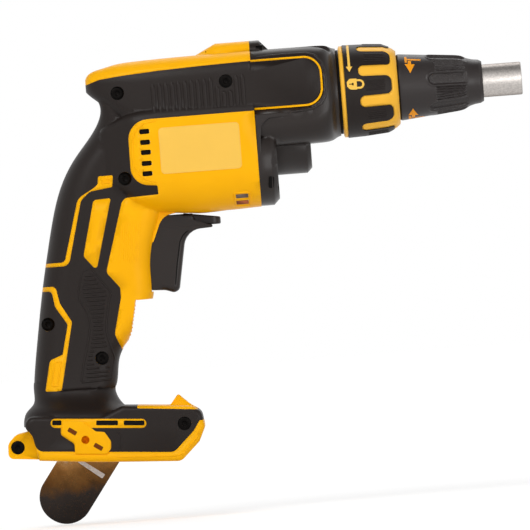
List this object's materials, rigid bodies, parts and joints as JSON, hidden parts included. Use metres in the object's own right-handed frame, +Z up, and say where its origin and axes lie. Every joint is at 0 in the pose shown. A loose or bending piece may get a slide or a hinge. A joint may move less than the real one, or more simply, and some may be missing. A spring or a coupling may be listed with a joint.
{
  "type": "drywall screwdriver",
  "caption": "Cordless drywall screwdriver with pistol grip, depth-setting nose, turning lock collar, push-in clutch, trigger, reverse lever and belt hook.",
  "frame": {"origin": "centre of the depth locator's front mouth, on the spindle axis", "axes": "+X along the spindle axis out of the nose, +Z up away from the foot, +Y to the belt hook side"},
  "size_m": [0.2698, 0.0772, 0.2344],
  "materials": {
    "yellow_nylon": "moulded, fine matt grain",
    "black_rubber": "soft overmould, fine grain",
    "black_nylon": "moulded, satin",
    "bright_steel": "turned and polished",
    "worn_steel": "pressed strip, rubbed bright",
    "tool_steel": "ground",
    "bearing_steel": "polished",
    "black_screw": "black oxide",
    "gear_steel": "hobbed, oiled",
    "cast_alloy": "die cast",
    "laminated_iron": "stacked sheet",
    "enamelled_copper": "varnished wire",
    "magnet": "nickel coat",
    "circuit_board": "solder resist",
    "brass_terminal": "stamped",
    "clear_lens": "clear moulding",
    "rating_film": "printed film, left bare",
    "sealing_rubber": "moulded ring",
    "switch_case": "moulded"
  },
  "bodies": {
    "housing": {"housing_right": "yellow_nylon", "housing_left": "yellow_nylon", "grip_right": "black_rubber", "grip_left": "black_rubber", "gear_case": "black_nylon", "bearing_plate": "cast_alloy", "gear_case_screws": "black_screw", "housing_screws": "black_screw", "rating_plate": "rating_film", "lamp_lens": "clear_lens", "lamp_board": "circuit_board", "spindle_bearing_outer": "bearing_steel", "spindle_bearing_balls": "bearing_steel", "thrust_washer": "tool_steel", "bearing_spacer": "cast_alloy", "spindle_seal": "sealing_rubber", "spindle_rear_bearing": "brass_terminal", "collar_retaining_ring": "tool_steel", "stator_core": "laminated_iron", "stator_windings": "enamelled_copper", "sensor_board": "circuit_board", "motor_rear_bearing": "bearing_steel", "motor_front_bearing": "bearing_steel", "trigger_spring": "tool_steel", "trigger_switch": "switch_case", "reverse_lever_pin": "tool_steel", "control_board": "circuit_board", "heat_sink": "cast_alloy", "capacitor": "switch_case", "terminal_block": "switch_case", "terminal_blades": "brass_terminal", "belt_hook": "worn_steel", "hook_screw": "black_screw"},
    "gear": {"spindle_gear": "gear_steel"},
    "rotor": {"rotor_shaft": "tool_steel", "rotor_core": "laminated_iron", "rotor_magnets": "magnet", "cooling_fan": "black_nylon", "pinion": "gear_steel"},
    "spindle_ring": {"spindle_bearing_inner": "bearing_steel"},
    "spindle": {"output_spindle": "tool_steel", "clutch_disc": "gear_steel", "bit_magnet": "magnet", "bit_retaining_ring": "tool_steel", "clutch_spring": "tool_steel"},
    "collar": {"collar_ring": "yellow_nylon", "collar_grip": "black_rubber"},
    "nose_sleeve": {"nose_carrier": "black_nylon", "carrier_o_ring": "sealing_rubber", "cone_snap_ring": "tool_steel"},
    "nose_cone": {"nose_cone": "black_nylon"},
    "locator": {"depth_locator": "bright_steel", "locator_key_pin": "tool_steel"},
    "trigger": {"trigger": "black_nylon", "trigger_plunger": "switch_case"},
    "reverse_lever": {"reverse_lever": "black_nylon"},
    "lock_on_button": {"lock_on_button": "black_nylon"}
  },
  "joints": [
    {"name": "gear_spin", "type": "hinge", "parent": "housing", "child": "gear", "pos_m": [-0.131, 0, 0], "axis": [1, 0, 0], "continuous": true},
    {"name": "rotor_spin", "type": "hinge", "parent": "housing", "child": "rotor", "pos_m": [-0.16, 0, -0.0255], "axis": [1, 0, 0], "continuous": true},
    {"name": "spindle_spin", "type": "hinge", "parent": "housing", "child": "spindle_ring", "pos_m": [-0.097, 0, 0], "axis": [1, 0, 0], "continuous": true},
    {"name": "spindle_press", "type": "slide", "parent": "spindle_ring", "child": "spindle", "axis": [-1, 0, 0], "range_m": [0, 0.0024], "stiffness_N_per_m": 4000, "springref_m": -0.001, "deforming": ["clutch_spring"]},
    {"name": "collar_turn", "type": "hinge", "parent": "housing", "child": "collar", "pos_m": [-0.076, 0, 0], "axis": [1, 0, 0], "range_deg": [0, 60]},
    {"name": "nose_pull_off", "type": "slide", "parent": "housing", "child": "nose_sleeve", "axis": [1, 0, 0], "range_m": [0, 0.075]},
    {"name": "nose_turn", "type": "hinge", "parent": "nose_sleeve", "child": "nose_cone", "pos_m": [-0.05, 0, 0], "axis": [1, 0, 0], "range_deg": [-360, 360]},
    {"name": "locator_slide", "type": "slide", "parent": "nose_sleeve", "child": "locator", "axis": [1, 0, 0], "range_m": [-0.00401, 0.00401]},
    {"name": "trigger_pull", "type": "slide", "parent": "housing", "child": "trigger", "axis": [-1, 0, 0], "range_m": [0, 0.006], "stiffness_N_per_m": 1200, "springref_m": -0.004, "deforming": ["trigger_spring"]},
    {"name": "reverse_lever_swing", "type": "hinge", "parent": "housing", "child": "reverse_lever", "pos_m": [-0.1853, 0, -0.058], "axis": [0, 0, 1], "range_deg": [-10, 10]},
    {"name": "lock_on_press", "type": "slide", "parent": "housing", "child": "lock_on_button", "axis": [0, -1, 0], "range_m": [0, 0.0025], "stiffness_N_per_m": 800, "springref_m": -0.001}
  ],
  "couplings": [
    {"joint": "rotor_spin", "follows": "gear_spin", "ratio": -5},
    {"joint": "locator_slide", "follows": "nose_turn", "m_per_rad": 0.00063662}
  ]
}
